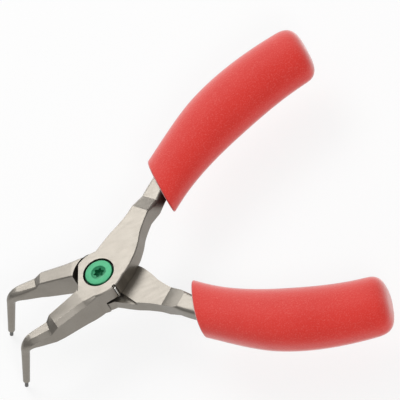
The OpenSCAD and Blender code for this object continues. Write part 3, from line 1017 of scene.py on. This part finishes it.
def make_spring():
    foot = coil_point(COIL_STARTS)
    way = np.array([*unit(COIL_ENDS + 90), 0.0])
    lead = coil_point(COIL_ENDS)
    run = math.sqrt(LEG_R**2 - COIL_R**2)
    top = lead + run * way
    path = [foot - (0, 0, TAIL_H), foot - (0, 0, WIRE_D / 2)]
    turns = np.linspace(COIL_STARTS, COIL_ENDS, COIL_RINGS * COIL_TURNS + 1)[2:]
    path += [coil_point(a) for a in turns]
    path += [lead + s * way for s in np.linspace(LEG_LEAD, run - LEG_BEND_R, LEAD_RINGS)]
    for c, s in map(unit, LEG_BEND_DEGS):
        rise = np.array([0, 0, LEG_BEND_R * (1 - c)])
        path.append(top - LEG_BEND_R * way + LEG_BEND_R * s * way + rise)
    upright = np.linspace(LEG_HEIGHT + LEG_RISE, LEG_H, LEG_RINGS)
    path += [np.array([top[0], top[1], z]) for z in upright]
    rings = []
    for i, p in enumerate(path):
        t = path[min(i + 1, len(path) - 1)] - path[max(i - 1, 0)]
        t = t / np.linalg.norm(t)
        out = np.array([p[0], p[1], 0.0])
        u = out - out.dot(t) * t
        u /= np.linalg.norm(u)
        v = np.cross(t, u)
        circle = [WIRE_D / 2 * unit(360 * j / WIRE_SIDES) for j in range(WIRE_SIDES)]
        rings.append([p + q[0] * u + q[1] * v for q in circle])
    spring = loft("spring_coil", rings)
    shift(spring, Matrix.Translation((0, 0, -LAP_T)))
    twist = (COIL_LOW - LAP_T, LEG_HEIGHT - WIRE_D / 2 - LAP_T)
    return finish(spring, "upper_half", "return_spring", WIRE, twist=twist)


make_screw()
make_washer()
make_spring()

# Floor, light and camera

PHOTO_PX = 400.0
CAMERA_AZ = 11.43
CAMERA_EL = 49.69
CAMERA_ROLL = 32.42
PX_PER_MM = 2.937
PIVOT_PX = (98.4, 272.2)
CAMERA_D = 3.0
CAMERA_CLIP = (0.05, 20.0)
FLOOR_REACH = 2.0
FLOOR_GAP = 0.0004
FLOOR_GREY = 0.88
FLOOR_ROUGH = 0.9
FLOOR_GLOW = 0.8
SKY_LOW = 0.16
SKY_HIGH = 0.60
SKY_HIGH_AT = 0.75
# Name, place, aim, size and power: the top faces mirror the key lamp and the front jaw's bevel the
# fill lamp, while the back lamp lights the ramps and the grips' rims
LAMPS = [
    ("key", (-0.06, 0.62, 0.75), (0.03, 0.0, 0.0), (0.6, 0.6), 3.4),
    ("fill", (0.23, -0.70, 0.62), (0.0, 0.0, 0.0), (0.25, 0.25), 2.5),
    ("back", (-0.2, 0.93, 0.17), (0.02, 0.0, 0.0), (0.9, 0.32), 2.8),
]


def grey(level):
    return rgb(level, level, level)


def soft_box(name, where, aim, size, power):
    data = bpy.data.lights.new(name, "AREA")
    data.shape = "ELLIPSE"
    data.size, data.size_y = size
    data.energy = power
    lamp = bpy.data.objects.new(name, data)
    lamp.location = where
    lamp.rotation_mode = "QUATERNION"
    lamp.rotation_quaternion = (Vector(aim) - Vector(where)).to_track_quat("-Z", "Y")
    bpy.context.scene.collection.objects.link(lamp)


def seen_directly(tree):
    """1 for what the camera sees, also in a mirror or through glass."""
    path = tree.nodes.new("ShaderNodeLightPath")
    total = path.outputs["Is Camera Ray"]
    for name in ("Is Glossy Ray", "Is Transmission Ray"):
        add = tree.nodes.new("ShaderNodeMath")
        add.operation = "MAXIMUM"
        tree.links.new(total, add.inputs[0])
        tree.links.new(path.outputs[name], add.inputs[1])
        total = add.outputs[0]
    return total


def make_floor():
    z = cad_low.z - FLOOR_GAP
    ways = [(-1, -1), (1, -1), (1, 1), (-1, 1)]
    corners = [(x * FLOOR_REACH, y * FLOOR_REACH, z) for x, y in ways]
    floor = new_object("floor", corners, [(0, 1, 2, 3)])
    material = bpy.data.materials.new("pale_floor")
    material.use_nodes = True
    tree = material.node_tree
    shader = tree.nodes["Principled BSDF"]
    shader.inputs["Base Color"].default_value = grey(FLOOR_GREY)
    shader.inputs["Roughness"].default_value = FLOOR_ROUGH
    glow = tree.nodes.new("ShaderNodeEmission")
    lit = tree.nodes.new("ShaderNodeMath")
    lit.operation = "MULTIPLY"
    tree.links.new(seen_directly(tree), lit.inputs[0])
    lit.inputs[1].default_value = FLOOR_GLOW
    mix = tree.nodes.new("ShaderNodeMixShader")
    tree.links.new(lit.outputs[0], mix.inputs["Fac"])
    tree.links.new(shader.outputs["BSDF"], mix.inputs[1])
    tree.links.new(glow.outputs["Emission"], mix.inputs[2])
    tree.links.new(mix.outputs["Shader"], tree.nodes["Material Output"].inputs["Surface"])
    floor.data.materials.append(material)


def make_world():
    world = bpy.data.worlds.new("studio")
    bpy.context.scene.world = world
    world.use_nodes = True
    tree = world.node_tree
    sky = tree.nodes["Background"]
    place = tree.nodes.new("ShaderNodeTexCoord")
    split = tree.nodes.new("ShaderNodeSeparateXYZ")
    tree.links.new(place.outputs["Generated"], split.inputs["Vector"])
    ramp = tree.nodes.new("ShaderNodeValToRGB")
    tree.links.new(split.outputs["Z"], ramp.inputs["Fac"])
    low, high = ramp.color_ramp.elements
    low.position, low.color = 0.0, grey(SKY_LOW)
    high.position, high.color = SKY_HIGH_AT, grey(SKY_HIGH)
    tree.links.new(ramp.outputs["Color"], sky.inputs["Color"])
    white = tree.nodes.new("ShaderNodeBackground")
    white.inputs["Color"].default_value = grey(1.0)
    path = tree.nodes.new("ShaderNodeLightPath")
    mix = tree.nodes.new("ShaderNodeMixShader")
    tree.links.new(path.outputs["Is Camera Ray"], mix.inputs["Fac"])
    tree.links.new(sky.outputs["Background"], mix.inputs[1])
    tree.links.new(white.outputs["Background"], mix.inputs[2])
    tree.links.new(mix.outputs["Shader"], tree.nodes["World Output"].inputs["Surface"])


def make_camera():
    az, el, roll = map(math.radians, (CAMERA_AZ, CAMERA_EL, CAMERA_ROLL))
    back = Vector((math.sin(az) * math.cos(el), -math.cos(az) * math.cos(el), math.sin(el)))
    right = Vector((math.cos(az), math.sin(az), 0))
    up = back.cross(right)
    turned_right = right * math.cos(roll) - up * math.sin(roll)
    turned_up = right * math.sin(roll) + up * math.cos(roll)
    across = (PHOTO_PX / 2 - PIVOT_PX[0]) / PX_PER_MM * MM
    above = (PIVOT_PX[1] - PHOTO_PX / 2) / PX_PER_MM * MM
    aim = turned_right * across + turned_up * above
    data = bpy.data.cameras.new("camera")
    half_width = PHOTO_PX / 2 / PX_PER_MM * MM
    data.lens = data.sensor_width / 2 * CAMERA_D / half_width
    data.clip_start, data.clip_end = CAMERA_CLIP
    camera = bpy.data.objects.new("camera", data)
    axes = Matrix((turned_right, turned_up, back)).transposed().to_4x4()
    camera.matrix_world = Matrix.Translation(aim + back * CAMERA_D) @ axes
    bpy.context.scene.collection.objects.link(camera)
    bpy.context.scene.camera = camera


make_floor()
make_world()
for lamp in LAMPS:
    soft_box(*lamp)
make_camera()
bpy.context.scene.view_settings.view_transform = "Standard"
